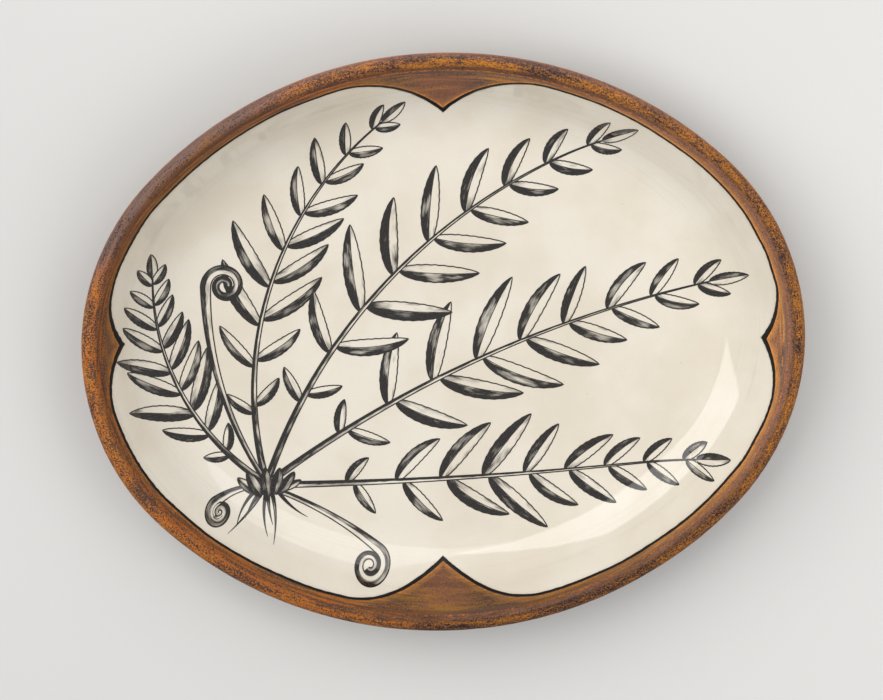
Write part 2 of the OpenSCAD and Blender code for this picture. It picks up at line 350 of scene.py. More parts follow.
class Nodes:
    """Adds linked nodes to one node tree."""

    def __init__(self, tree):
        self.tree = tree

    def add(self, kind, inputs=None, **settings):
        made = self.tree.nodes.new(kind)
        for key, value in settings.items():
            setattr(made, key, value)
        for key, value in (inputs or {}).items():
            self.put(value, made.inputs[key])
        return made

    def put(self, value, socket):
        if isinstance(value, bpy.types.NodeSocket):
            self.tree.links.new(value, socket)
        else:
            socket.default_value = value

    def math(self, operation, a, b=0.0, c=0.0, clamp=False):
        return self.add("ShaderNodeMath", {0: a, 1: b, 2: c}, operation=operation, use_clamp=clamp).outputs[0]

    def times(self, a, b, clamp=False):
        return self.math("MULTIPLY", a, b, clamp=clamp)

    def scaled(self, value, scale, start, clamp=False):
        """The value times scale, plus start."""
        return self.math("MULTIPLY_ADD", value, scale, start, clamp=clamp)

    def less(self, a, b):
        return self.math("SUBTRACT", a, b)

    def ease(self, value, low, high, start=0.0, end=1.0):
        """Goes smoothly from start to end as value goes from low to high."""
        return self.add("ShaderNodeMapRange", {"Value": value, "From Min": low, "From Max": high, "To Min": start,
                                               "To Max": end}, interpolation_type="SMOOTHSTEP").outputs["Result"]

    def mix(self, share, a, b, blend="MIX"):
        made = self.add("ShaderNodeMix", data_type="RGBA", blend_type=blend, clamp_factor=True)
        for index, value in ((0, share), (6, a), (7, b)):
            self.put(value, made.inputs[index])
        return made.outputs[2]

    def stretch(self, vector, x, y, z):
        return self.add("ShaderNodeVectorMath", {0: vector, 1: (x, y, z)}, operation="MULTIPLY").outputs[0]

    def noise(self, vector, scale, detail=2.0, rough=0.5, warp=0.0):
        return self.add("ShaderNodeTexNoise", {"Vector": vector, "Scale": scale, "Detail": detail,
                                               "Roughness": rough, "Distortion": warp}).outputs["Fac"]

    def swing(self, vector, *noise):
        """Noise about 0, from -0.5 to 0.5."""
        return self.less(self.noise(vector, *noise), 0.5)

    def parts(self, vector):
        return self.add("ShaderNodeSeparateXYZ", {0: vector}).outputs

    def attribute(self, name):
        return self.add("ShaderNodeAttribute", attribute_name=name).outputs["Vector"]

    def ramp(self, value, stops):
        made = self.add("ShaderNodeValToRGB", {0: value})
        marks = made.color_ramp.elements
        while len(marks) < len(stops):
            marks.new(0.5)
        for mark, (position, tone) in zip(marks, stops):
            mark.position, mark.color = position, tone
        return made.outputs[0]


def new_group(name, inputs, outputs):
    """An empty shader node group with its sockets, its input and its output node."""
    tree = bpy.data.node_groups.new(name, "ShaderNodeTree")
    for side, sockets in (("INPUT", inputs), ("OUTPUT", outputs)):
        for label, kind in sockets:
            tree.interface.new_socket(label, in_out=side, socket_type="NodeSocket" + kind)
    n = Nodes(tree)
    return n, n.add("NodeGroupInput").outputs, n.add("NodeGroupOutput").inputs


def use_group(n, name, **values):
    made = n.add("ShaderNodeGroup", node_tree=bpy.data.node_groups[name])
    for key, value in values.items():
        n.put(value, made.inputs[key.replace("_", " ")])
    return made.outputs


def new_material(name):
    material = bpy.data.materials.new(name)
    material.use_nodes = True
    n = Nodes(material.node_tree)
    return material, n, material.node_tree.nodes["Principled BSDF"]


def finish_material(n, shader, tone, roughness, height, strength, distance):
    """Links colour and roughness, and the height through a bump node."""
    n.put(tone, shader.inputs["Base Color"])
    n.put(roughness, shader.inputs["Roughness"])
    bump = n.add("ShaderNodeBump", {"Height": height, "Strength": strength, "Distance": distance})
    n.put(bump.outputs[0], shader.inputs["Normal"])


# Shader groups that several materials share

def cream_group(c):
    """Cream glaze: soft clouds of warmer glaze, faint rings left by smoothing, pinholes and a few iron specks."""
    n, given, out = new_group("Cream glaze body", [("Object", "Vector"), ("Flow", "Vector"), ("Place", "Vector")],
                              [("Colour", "Color"), ("Roughness", "Float"), ("Height", "Float")])
    inset, from_line, _ = n.parts(given["Place"])
    clouds = n.noise(given["Object"], 22.0, 3.0, 0.55)
    rings = n.noise(n.stretch(given["Flow"], 0.006, 0.006, 0.55), 1.0, 4.0, 0.6)
    grain = n.noise(given["Object"], 900.0, 2.0, 0.6)
    pins = n.add("ShaderNodeTexVoronoi", {"Vector": given["Object"], "Scale": 95.0}).outputs["Distance"]
    tone = n.mix(n.ease(clouds, 0.35, 0.7), tuple(c.cream), tuple(c.cream_warm))
    wall = n.ease(inset, 58.0, 20.0)
    ring_share = n.times(n.ease(rings, 0.54, 0.68), n.scaled(wall, 0.08, 0.015))
    tone = n.mix(ring_share, tone, TONES["smoothing ring"])
    tone = n.mix(n.times(n.ease(grain, 0.3, 0.75), 0.035), tone, TONES["cream grain"])
    speck = n.times(n.ease(pins, 0.045, 0.02), n.ease(clouds, 0.52, 0.6))
    tone = n.mix(n.times(speck, 0.35), tone, TONES["cream speck"])
    pooled = n.times(n.ease(from_line, 2.6, 0.4), 0.16)
    n.put(n.mix(pooled, tone, TONES["pooled cream"]), out["Colour"])
    n.put(n.scaled(grain, 0.05, 0.035), out["Roughness"])
    hills = n.math("ADD", n.times(rings, 0.5), n.times(clouds, 0.8))
    n.put(n.math("ADD", hills, n.times(speck, -0.2)), out["Height"])


def pencil_group(_):
    """Pencil tone on a strip, 0 bare to 1 black: a dark outline and vein, one side filled and the other bare, both
    broken by streaks that run along the strip, darker at its foot and tip, and some strips darker than others."""
    n, given, out = new_group("Pencil tone", [("Stroke", "Vector"), ("Stroke mm", "Vector"), ("Object", "Vector"),
                                              ("Dark side", "Float"), ("Light side", "Float"), ("Vein", "Float")],
                              [("Tone", "Float")])
    share, part, seed = n.parts(given["Stroke"])
    across, along, half = n.parts(given["Stroke mm"])
    streak_at = n.add("ShaderNodeCombineXYZ", {0: n.times(across, 3.0), 1: n.times(along, 0.2),
                                               2: n.times(seed, 40.0)}).outputs[0]
    streaks = n.swing(streak_at, 1.0, 3.0, 0.6)
    patch_at = n.add("ShaderNodeCombineXYZ", {0: n.times(across, 0.3), 1: n.times(along, 0.09),
                                              2: n.times(seed, 70.0)}).outputs[0]
    patches = n.swing(patch_at, 1.0, 1.0, 0.5)
    tooth = n.noise(given["Object"], 2600.0, 1.0, 0.5)
    from_edge = n.less(half, n.math("ABSOLUTE", across))
    heavy = n.ease(share, -0.2, 0.4, 0.66, 0.72)
    outline = n.ease(n.less(n.scaled(streaks, 0.25, from_edge), heavy), 0.12, -0.1)
    vein = n.math("ABSOLUTE", n.scaled(streaks, 0.35, n.less(across, 0.1)))
    vein = n.times(n.ease(vein, 0.34, 0.12), given["Vein"])
    side = n.ease(n.scaled(streaks, 0.3, share), -0.1, 0.1)
    body = n.math("ADD", n.times(given["Dark side"], side), n.times(given["Light side"], n.less(1.0, side)))
    for more in (n.ease(part, 0.4, 0.0, 0.0, 0.75), n.ease(part, 0.66, 1.0, 0.0, 0.8),
                 n.ease(n.math("ABSOLUTE", share), 0.5, 1.0, 0.0, 0.4)):
        body = n.math("ADD", body, more)
    body = n.scaled(streaks, 1.5, body)
    body = n.scaled(patches, 2.2, body)
    body = n.scaled(n.less(n.math("ABSOLUTE", seed), 0.5), 0.5, body)
    total = n.math("MAXIMUM", n.math("MAXIMUM", outline, vein), n.math("ADD", body, 0.0, clamp=True))
    n.put(n.times(total, n.scaled(tooth, 0.25, 0.86), clamp=True), out["Tone"])


def grain_group(_):
    """Fine grain of a dry or satin surface: specks of two sizes and their height."""
    n, given, out = new_group("Surface grain", [("Object", "Vector"), ("Fine", "Float"), ("Coarse", "Float")],
                              [("Fine specks", "Float"), ("Coarse specks", "Float"), ("Height", "Float")])
    fine = n.noise(given["Object"], given["Fine"], 2.0, 0.6)
    coarse = n.noise(given["Object"], given["Coarse"], 3.0, 0.65)
    n.put(fine, out["Fine specks"])
    n.put(coarse, out["Coarse specks"])
    n.put(n.scaled(fine, 0.5, coarse), out["Height"])


# Materials

def cream_material(c):
    """Glossy cream glaze, with a streaky grey band beside the painted line, strongest near the cusps."""
    material, n, shader = new_material("cream glaze")
    where = n.add("ShaderNodeTexCoord").outputs["Object"]
    flow, place = n.attribute("flow"), n.attribute("place")
    body = use_group(n, "Cream glaze body", Object=where, Flow=flow, Place=place)
    _, from_line, near_cusp = n.parts(place)
    # A streaky grey band beside the painted line, wider and stronger near the cusps.
    grey_fringe = n.noise(n.stretch(flow, 0.25, 0.25, 2.2), 1.0, 3.0, 0.6)
    reach = n.scaled(near_cusp, 0.9, 0.55)
    near_line = n.ease(n.math("DIVIDE", from_line, n.math("ADD", reach, 1.0)), 0.95, 0.35)
    grey_fringe = n.times(near_line, n.ease(grey_fringe, 0.42, 0.62))
    tone = n.mix(n.times(grey_fringe, n.scaled(near_cusp, 0.45, 0.12)), body["Colour"], TONES["grey_fringe"])
    finish_material(n, shader, tone, body["Roughness"], body["Height"], 0.12, 0.0006)
    gloss(shader, 0.35)
    return material


def gloss(shader, coat):
    """The same glassy top for every piece under the clear glaze."""
    shader.inputs["IOR"].default_value = 1.5
    shader.inputs["Coat Weight"].default_value = coat
    shader.inputs["Coat Roughness"].default_value = 0.03


def pencil_material(c, name, dark, light, vein):
    """Pencil under the same clear glossy glaze: the cream body with pencil tone over it."""
    material, n, shader = new_material(name)
    where = n.add("ShaderNodeTexCoord").outputs["Object"]
    body = use_group(n, "Cream glaze body", Object=where, Flow=n.attribute("flow"), Place=n.attribute("place"))
    tone = use_group(n, "Pencil tone", Stroke=n.attribute("stroke"), Stroke_mm=n.attribute("stroke_mm"), Object=where,
                     Dark_side=dark, Light_side=light, Vein=vein)["Tone"]
    finish_material(n, shader, n.mix(tone, body["Colour"], tuple(c.pencil)), body["Roughness"], body["Height"], 0.12,
                    0.0006)
    gloss(shader, 0.35)
    return material


def rust_material(c):
    """Satin rust glaze. Over the coil it is ochre and charcoal specks in patches, with a painted greyish pink sheen on
    the outer edge. Streaks follow the rim inside it: rose, plum painted as shade in the crease, umber and brick,
    then tan at the line. On the far long side the rose thins out to a broken row of orange specks. The cusps are
    finely mottled. A grey painted sheen lies over the far left of the rim, with orange and dark streaks along the
    left. A streaky brown wash paints shade on the inner slope low down and along the left, and the brightness of
    each side of the rim is raised or lowered as painted light and shade."""
    material, n, shader = new_material("rust glaze")
    where = n.add("ShaderNodeTexCoord").outputs["Object"]
    flow, place = n.attribute("flow"), n.attribute("place")
    run, from_line, near_cusp = n.parts(place)
    grain = use_group(n, "Surface grain", Object=where, Fine=1350.0, Coarse=600.0)
    fine = n.less(grain["Fine specks"], 0.5)
    patches = n.swing(n.stretch(flow, 0.03, 0.03, 0.13), 1.0, 2.0, 0.55, 0.5)
    dabs = n.swing(n.stretch(flow, 0.13, 0.13, 0.5), 1.0, 3.0, 0.6)
    specks = n.swing(n.stretch(flow, 0.7, 0.7, 1.9), 1.0, 3.0, 0.75)
    streaks = n.swing(n.stretch(flow, 0.05, 0.05, 0.85), 1.0, 3.0, 0.6, 0.3)
    drift = n.swing(n.stretch(flow, 0.02, 0.02, 0.0), 1.0, 2.0, 0.5)
    x, y, _ = n.parts(where)
    near, west, low = n.ease(y, 0.135, 0.09), n.ease(x, 0.02, -0.08), n.ease(y, -0.03, -0.125)
    far, east = n.less(1.0, near), n.ease(x, 0.06, 0.13)
    # The far left corner of the rim, where the coil gets a painted sheen and painted shade.
    corner = n.times(n.ease(x, -0.05, -0.11), n.ease(y, 0.03, 0.075))
    inner = n.ease(run, 4.5, 1.5)
    bead = n.less(1.0, inner)

    def blend(*shares, start=0.5):
        total = start
        for share, value in shares:
            total = n.scaled(value, share, total)
        return total

    def band(along, middle, inner, outer, share):
        """Share of a streak whose middle lies at a run, full to inner and gone past outer from there."""
        off = n.math("ABSOLUTE", n.less(along, middle))
        return n.times(n.ease(off, outer, inner), share, clamp=True)

    wall = n.ramp(blend((2.8, streaks), (1.6, specks), (2.8, fine), (1.1, patches)), [
        (0.28, TONES["wall dark"]), (0.41, tuple(c.plum)), (0.51, tuple(c.umber)), (0.62, tuple(c.brick)),
        (0.78, tuple(c.tan))])
    cusp = n.ramp(blend((1.5, specks), (2.8, fine), (2.2, patches), (1.1, dabs)), [
        (0.22, TONES["wall dark"]), (0.4, tuple(c.plum)), (0.5, tuple(c.umber)), (0.6, tuple(c.brick)),
        (0.8, tuple(c.ochre))])
    wall = n.mix(n.ease(run, -4.0, -12.0, 0.0, 0.9), wall, cusp)
    drab = n.ease(blend((1.0, patches), (0.5, dabs), (0.8, fine), start=0.0), 0.0, 0.12)
    drab = n.times(drab, n.math("MAXIMUM", n.times(low, 0.75), n.times(far, 0.5)))
    wall = n.mix(drab, wall, TONES["drab ochre"])
    tip = n.times(n.ease(near_cusp, 0.3, 0.8, 0.0, 0.6), n.ease(run, -3.0, -6.0))
    wall = n.mix(n.times(tip, n.scaled(fine, 4.0, 0.8), clamp=True), wall, tuple(c.brick))
    coil = n.ramp(blend((1.15, patches), (0.8, dabs), (1.7, specks), (1.6, fine),
                        (-0.6, n.times(patches, east)), (0.04, east), start=0.465), [
        (0.27, tuple(c.charcoal)), (0.4, tuple(c.plum)), (0.5, tuple(c.rust)), (0.63, tuple(c.ochre)),
        (0.82, tuple(c.glow))])
    # Painted sheen: a greyish pink highlight over the outer coil, strongest on the far side.
    bloom = n.times(n.ease(run, 7.5, 11.5), n.scaled(near, -0.4, 0.52))
    coil = n.mix(n.times(bloom, n.scaled(specks, 3.0, 0.8), clamp=True), coil, tuple(c.painted_lilac_sheen))
    long = n.swing(n.stretch(flow, 0.035, 0.035, 0.5), 1.0, 3.0, 0.65)
    grained = n.scaled(fine, 1.2, long)
    # Painted sheen: a grey pink highlight over the outer coil at the far left corner.
    painted_corner_sheen = n.times(n.times(corner, n.ease(run, 4.0, 7.0)), n.scaled(grained, 3.0, 0.72))
    coil = n.mix(painted_corner_sheen, coil, TONES["corner painted sheen"])
    smooth = n.times(n.times(corner, n.ease(run, 7.0, 4.0)), n.scaled(grained, 2.0, 0.7))
    coil = n.mix(smooth, coil, TONES["corner smooth"])
    coil = n.mix(n.ease(run, 20.0, 24.0), coil, wall)
    tone = n.mix(n.ease(n.scaled(specks, 1.5, run), -0.3, 1.3), wall, coil)

    wave = blend((1.5, specks), (2.6, drift), start=run)
    loose = n.scaled(dabs, 1.6, 0.8)
    thread = n.scaled(n.times(near, loose), n.scaled(west, -0.65, 0.8), 0.08)
    shade = TONES["shade"]
    tone = n.mix(band(wave, 5.7, 0.3, 1.1, n.times(thread, 0.5)), tone, shade)
    tone = n.mix(band(wave, 3.4, 0.8, 2.0, n.scaled(near, -0.6, 0.6)), tone, shade)
    rose = n.mix(n.ease(n.scaled(specks, 0.6, fine), -0.12, 0.16), tuple(c.plum), tuple(c.rose))
    tone = n.mix(band(wave, 3.1, 1.0, 2.2, thread), tone, rose)
    # Painted shade: a plum band darkens the crease.
    tone = n.mix(band(wave, -0.4, 0.7, 1.8, 0.7), tone, tuple(c.plum))
    dots = n.noise(n.stretch(flow, 0.75, 0.75, 0.8), 1.0, 2.0, 0.6)
    dots = blend((0.12, west), (0.05, far), (-0.03, east), start=dots)
    dots = n.ease(dots, 0.51, 0.62, 0.0, 0.85)
    tone = n.mix(band(n.scaled(specks, 1.6, run), 1.6, 0.3, 1.3, dots), tone, TONES["crease dot"])
    tone = n.mix(band(run, 13.2, 0.5, 1.5, n.scaled(dabs, 1.2, 0.55)), tone, TONES["outer band"])

    half = n.scaled(near_cusp, 0.8, 0.55)
    beside = n.less(from_line, half)
    inside = n.ease(run, 8.0, 4.0)
    pool = n.times(n.scaled(near, 0.45, 0.15), inside)
    pool = n.times(n.ease(n.scaled(specks, 1.6, beside), 3.0, 1.0), pool)
    tone = n.mix(n.times(pool, n.scaled(dabs, 1.8, 1.0), clamp=True), tone, tuple(c.tan))
    edge = n.times(n.ease(beside, 0.95, 0.25), n.ease(dabs, -0.15, 0.1, 0.35, 0.95))
    tone = n.mix(n.times(edge, inside), tone, tuple(c.edge))
    # Painted shade: a streaky dark brown wash on the inner slope, low down and along the left.
    painted_shade_wash = n.times(n.math("MAXIMUM", low, n.times(west, 1.2)), n.ease(run, 7.0, 1.0, 0.0, 0.38))
    painted_shade_wash = n.times(painted_shade_wash, n.less(1.0, tip))
    painted_shade_wash = n.times(painted_shade_wash, n.scaled(streaks, 5.0, 1.0), clamp=True)
    tone = n.mix(painted_shade_wash, tone, TONES["painted shade wash"])
    side = n.times(west, n.times(n.ease(run, -6.0, -3.0), n.ease(run, 12.0, 8.0)))
    side = n.times(side, n.scaled(corner, -0.85, 1.0))
    tone = n.mix(n.times(side, n.ease(grained, 0.02, 0.1, 0.0, 0.65)), tone, TONES["orange streak"])
    tone = n.mix(n.times(side, n.ease(grained, -0.01, -0.09, 0.0, 0.75)), tone, TONES["dark streak"])
    # Painted light and shade: some sides of the rim lighter, the coil low down and at the far left darker.
    painted_light_gain = blend((0.4, n.times(east, inner)), (0.18, n.times(west, bead)),
                 (0.4, n.times(far, inner)), (-0.2, n.times(low, bead)),
                 (-0.28, n.times(corner, bead)), start=1.0)
    tone = n.add("ShaderNodeHueSaturation", {"Color": tone, "Value": painted_light_gain, "Saturation": 0.99}).outputs[0]
    speckle = n.times(n.ease(n.scaled(specks, 0.5, fine), 0.0, 0.14), n.ease(run, 9.0, 3.0))
    tone = n.mix(n.times(speckle, 0.5), tone, shade)
    roughness = n.scaled(specks, 0.3, 0.5)
    height = n.math("ADD", grain["Height"], specks)
    finish_material(n, shader, tone, roughness, height, 0.35, 0.0002)
    shader.inputs["Specular IOR Level"].default_value = 0.05
    return material


def line_material(c):
    """Black painted line: brush streaks of brown black, a little worn at its edges."""
    material, n, shader = new_material("painted line")
    where = n.add("ShaderNodeTexCoord").outputs["Object"]
    grain = use_group(n, "Surface grain", Object=where, Fine=1800.0, Coarse=500.0)
    brush = n.noise(n.stretch(n.attribute("flow"), 0.12, 0.12, 3.0), 1.0, 3.0, 0.6)
    tone = n.mix(n.ease(brush, 0.5, 0.8, 0.0, 0.4), tuple(c.line), TONES["brush black"])
    roughness = n.scaled(grain["Coarse specks"], 0.2, 0.25)
    finish_material(n, shader, tone, roughness, n.math("ADD", grain["Height"], brush), 0.25, 0.0001)
    shader.inputs["Specular IOR Level"].default_value = 0.25
    return material


def clay_material(c, name, warmth):
    """Bare fired clay: sandy grain, darker iron specks and a toasted bloom."""
    material, n, shader = new_material(name)
    where = n.add("ShaderNodeTexCoord").outputs["Object"]
    grain = use_group(n, "Surface grain", Object=where, Fine=1300.0, Coarse=330.0)
    bloom = n.noise(where, 16.0, 3.0, 0.55)
    tone = n.mix(n.ease(bloom, 0.3, 0.75, 0.0, warmth), tuple(c.clay), TONES["toasted clay"])
    tone = n.mix(n.ease(grain["Fine specks"], 0.52, 0.8, 0.0, 0.4), tone, TONES["pale grain"])
    specks = n.add("ShaderNodeTexVoronoi", {"Vector": where, "Scale": 260.0}).outputs["Distance"]
    iron = n.times(n.ease(specks, 0.16, 0.08), n.ease(grain["Coarse specks"], 0.5, 0.62))
    tone = n.mix(iron, tone, TONES["clay iron"])
    roughness = n.scaled(grain["Fine specks"], 0.15, 0.72)
    finish_material(n, shader, tone, roughness, grain["Height"], 0.5, 0.0003)
    return material


def floor_material(c):
    """Pale matt studio floor with a trace of tooth."""
    material, n, shader = new_material("pale floor")
    where = n.add("ShaderNodeTexCoord").outputs["Object"]
    cloud = n.noise(where, 3.0, 2.0, 0.5)
    tone = n.mix(n.ease(cloud, 0.3, 0.7, 0.0, 0.25), tuple(c.floor), TONES["floor cloud"])
    finish_material(n, shader, tone, n.scaled(cloud, 0.1, 0.75), cloud, 0.05, 0.001)
    return material


# Operators

def settings():
    """The dish's shape, and its sizes, colours and drawing as the panel sets them."""
    scene = bpy.context.scene
    return DishShape(scene.dish_sizes), scene.dish_sizes, scene.dish_colours, scene.dish_drawing


class DISH_OT_groups(bpy.types.Operator):
    """Make the shader groups that the materials share"""
    bl_idname = "dish.groups"
    bl_label = "Shader groups"

    def execute(self, context):
        for build in (cream_group, pencil_group, grain_group):
            build(context.scene.dish_colours)
        return {"FINISHED"}


class DISH_OT_clay(bpy.types.Operator):
    """Give the clay shell, rim coil and foot ring their fired clay"""
    bl_idname = "dish.clay"
    bl_label = "Clay"

    def execute(self, context):
        for name, warmth in (("dish_shell", 0.45), ("rim_coil", 0.6), ("foot_ring", 0.8)):
            material = clay_material(context.scene.dish_colours, "fired clay " + name, warmth)
            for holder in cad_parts[name].material_slots:
                holder.material = material
        return {"FINISHED"}


class DISH_OT_cream(bpy.types.Operator):
    """Lay the cream glaze on the field"""
    bl_idname = "dish.cream"
    bl_label = "Cream glaze"

    def execute(self, context):
        shape, sizes, colours, _ = settings()
        turn = shape.turns(150)
        border = shape.border(turn)[:, None]
        past_curve = 6
        inner = shape.floor_in + past_curve
        rows, middle = np.linspace(0, 1, 28), np.linspace(1, 0, 26)[1:-1]
        x, y = shape.oval(turn[:, None], border + (inner - border) * rows)
        top_x = np.hstack([(x[:, -1:] * middle)[:, ::-1], x[:, ::-1]])
        top_y = np.hstack([(y[:, -1:] * middle)[:, ::-1], y[:, ::-1]])
        low = np.concatenate([[0], np.arange(3, 28, 3)])
        low_x = np.hstack([x[:, low], x[:, -1:] * 0.5])
        low_y = np.hstack([y[:, low], y[:, -1:] * 0.5])
        coat = sizes.coat / MM
        all_x, all_y = np.hstack([top_x, low_x]), np.hstack([top_y, low_y])
        all_z = shape.height(all_x, all_y)
        all_z[:, top_x.shape[1]:] -= coat
        grid = np.stack([all_x, all_y, all_z], -1)
        centre = shape.height(np.zeros(1), np.full(1, 1e-6))[0]
        points = np.concatenate([grid.reshape(-1, 3), [[0, 0, centre], [0, 0, centre - coat]]])
        turns, count = all_x.shape
        i = np.arange(turns)
        i2 = (i + 1) % turns
        pole = turns * count
        faces = loop_quads(turns, count, False).tolist()
        faces += np.stack([np.full(turns, pole), i * count, i2 * count], -1).tolist()
        faces += np.stack([np.full(turns, pole + 1), i2 * count + count - 1, i * count + count - 1], -1).tolist()
        at, inset = shape.place(points[:, 0], points[:, 1])
        make_piece("cream_field", points, faces, cream_material(colours), ["cream_glaze"], {
            "flow": flow_at(shape, at, inset),
            "place": np.stack([inset, inset - shape.border(at), shape.cusps(at).max(-1)], -1)})
        return {"FINISHED"}


class DISH_OT_rust(bpy.types.Operator):
    """Lay the rust glaze on the border, the rim and the outside"""
    bl_idname = "dish.rust"
    bl_label = "Rust glaze"

    def execute(self, context):
        shape, sizes, colours, _ = settings()
        turn = shape.turns(160)
        start = shape.run_at(shape.border(turn))[:, None]
        crease, bend = 1.5, 1.2
        fixed = np.concatenate([np.linspace(-crease, crease, 11), np.linspace(crease, shape.join - bend, 34)[1:],
                                np.linspace(shape.join - bend, shape.join + bend, 8)[1:],
                                np.linspace(shape.join + bend, shape.run[-1], 24)[1:]])
        rising = start + (fixed[0] - start) * np.linspace(0, 1, 17)[:-1]
        run = np.hstack([rising, np.broadcast_to(fixed, (len(turn), len(fixed)))])
        front = run.shape[1]
        back = np.arange(front - 1, -1, -2)
        back = np.append(back, 0) if back[-1] else back
        small = 0.04
        inset, z = (np.interp(run, shape.run, values) for values in (shape.run_inset, shape.run_z))
        di, dz = (np.interp(run + small, shape.run, values) - np.interp(run - small, shape.run, values)
                  for values in (shape.run_inset, shape.run_z))
        size = np.hypot(di, dz)
        coat = sizes.coat / MM
        under_in, under_z = inset - coat * dz / size, z + coat * di / size
        inset, z = np.hstack([inset, under_in[:, back]]), np.hstack([z, under_z[:, back]])
        run = np.hstack([run, run[:, back]])
        loose = smooth_step(run, -3, 1)
        most = 0.28
        wobble = 0.13 + 0.13 * ripple(turn, 2, 14, 3)[:, None] + 0.04 * ripple(turn, 40, 150, 5)[:, None]
        inset = inset + (np.clip(wobble, 0, most) + shape.hold_in) * loose
        z = z - 0.06 * (1 + ripple(turn, 3, 30, 7))[:, None] * loose * smooth_step(z, 30, 40)
        x, y = shape.oval(turn[:, None], inset)
        points = np.stack([x, y, z], -1).reshape(-1, 3)
        turns = np.broadcast_to(turn[:, None], run.shape)
        from_line = (shape.border(turn)[:, None] - inset) * shape.lean(turn)[:, None]
        near = np.broadcast_to(shape.cusps(turn).max(-1)[:, None], run.shape)
        make_piece("rust_coat", points, loop_quads(len(turn), run.shape[1], True).tolist(), rust_material(colours),
                   ["rust_glaze"], {
                       "flow": flow_at(shape, turns, run).reshape(-1, 3),
                       "place": np.stack([run, from_line, near], -1).reshape(-1, 3)})
        return {"FINISHED"}


class DISH_OT_line(bpy.types.Operator):
    """Paint the black line between the glazes"""
    bl_idname = "dish.line"
    bl_label = "Painted line"

    def execute(self, context):
        shape, _, colours, _ = settings()
        turn = shape.turns(420)
        near = shape.cusps(turn).max(-1)
        half = (shape.line_width + shape.line_swell * near) / 2
        outer = half * (1 + 0.09 * ripple(turn, 30, 200, 21))
        inner = half * (1 + 0.13 * ripple(turn, 30, 240, 22))
        share = np.array([-1, -0.8, -0.45, 0, 0.45, 0.8, 1, 0.9, -0.9])
        sunk = 0.3
        rise = np.append(np.sqrt(1 - share[:7] ** 2) * shape.line_rise * 1.3, [-sunk, -sunk])
        across = np.where(share > 0, share * inner[:, None], share * outer[:, None])
        inset = shape.border(turn)[:, None] + across
        x, y = shape.oval(turn[:, None], inset)
        z = np.interp(shape.run_at(inset), shape.run, shape.run_z) + rise
        points = np.stack([x, y, z], -1)[:, ::-1].reshape(-1, 3)
        flow = flow_at(shape, np.broadcast_to(turn[:, None], across.shape), across)[:, ::-1]
        make_piece("painted_line", points, loop_quads(len(turn), len(share), True).tolist(), line_material(colours),
                   ["border_line"], {"flow": flow.reshape(-1, 3)}, sharp=75)
        return {"FINISHED"}


def draw(name, stroke, colours, dark, light, vein):
    """A piece of the drawing: thin strips with pencil tone."""
    points, faces, attributes = stroke
    make_piece(name, points, faces, pencil_material(colours, name.replace("_", " "), dark, light, vein),
               attributes=attributes, sharp=60)


def curve(start, heading, bend, size, stations):
    """Centre line of constant bend: headings that grow evenly by bend, and the sum of their short steps from the
    start. Works on a batch of curves."""
    t = np.linspace(0, 1, stations)
    turn = heading[:, None] + bend[:, None] * t
    half = (turn[:, 1:] + turn[:, :-1]) / 2
    step = size[:, None] / (stations - 1)
    path = np.cumsum(np.stack([np.cos(half) * step, np.sin(half) * step], -1), 1)
    centre = np.concatenate([np.zeros((len(start), 1, 2)), path], 1) + start[:, None]
    return centre, turn


# Each frond: foot x and y, heading and bend in degrees, length and its longest leaflet, in millimetres
FRONDS = np.array([
    [-101, -74, 143, -58, 130, 34],
    [-99, -73, 101, -64, 214, 40],
    [-94, -77, -2, 6, 226, 42],
    [-95, -74, 34, -24, 258, 50],
    [-97, -72, 68, -50, 262, 47],
])
# Each curled young frond: foot x and y, heading and bend in degrees, length of stem and radius of its curl
CURLS = np.array([
    [-100, -73, 119, -32, 110, 10.5],
    [-95, -79, -24, -18, 66, 9.5],
    [-103, -77, 178, 30, 24, 5.5],
])
# Rootlets at the foot: foot x and y, heading and bend in degrees, and length
ROOTS = np.array([
    [-104, -79, 215, 40, 20], [-101, -80, 238, -30, 26], [-99, -81, 252, 35, 22], [-96, -81, 282, -25, 26],
    [-93, -80, 300, 30, 22], [-98, -81, 266, 20, 17], [-102, -80, 226, 18, 15],
])
# Scales of the crown, where the stems meet: foot x and y, heading and bend in degrees, length and half width
SCALES = np.array([
    [-104, -80, 150, -20, 13, 3.6], [-91, -79, 10, 20, 12, 3.0], [-102, -82, 122, -12, 15, 4.0],
    [-92, -81, 44, 14, 14, 3.6], [-98, -83, 96, -6, 16, 4.2], [-95, -82, 70, 8, 15, 4.0],
])


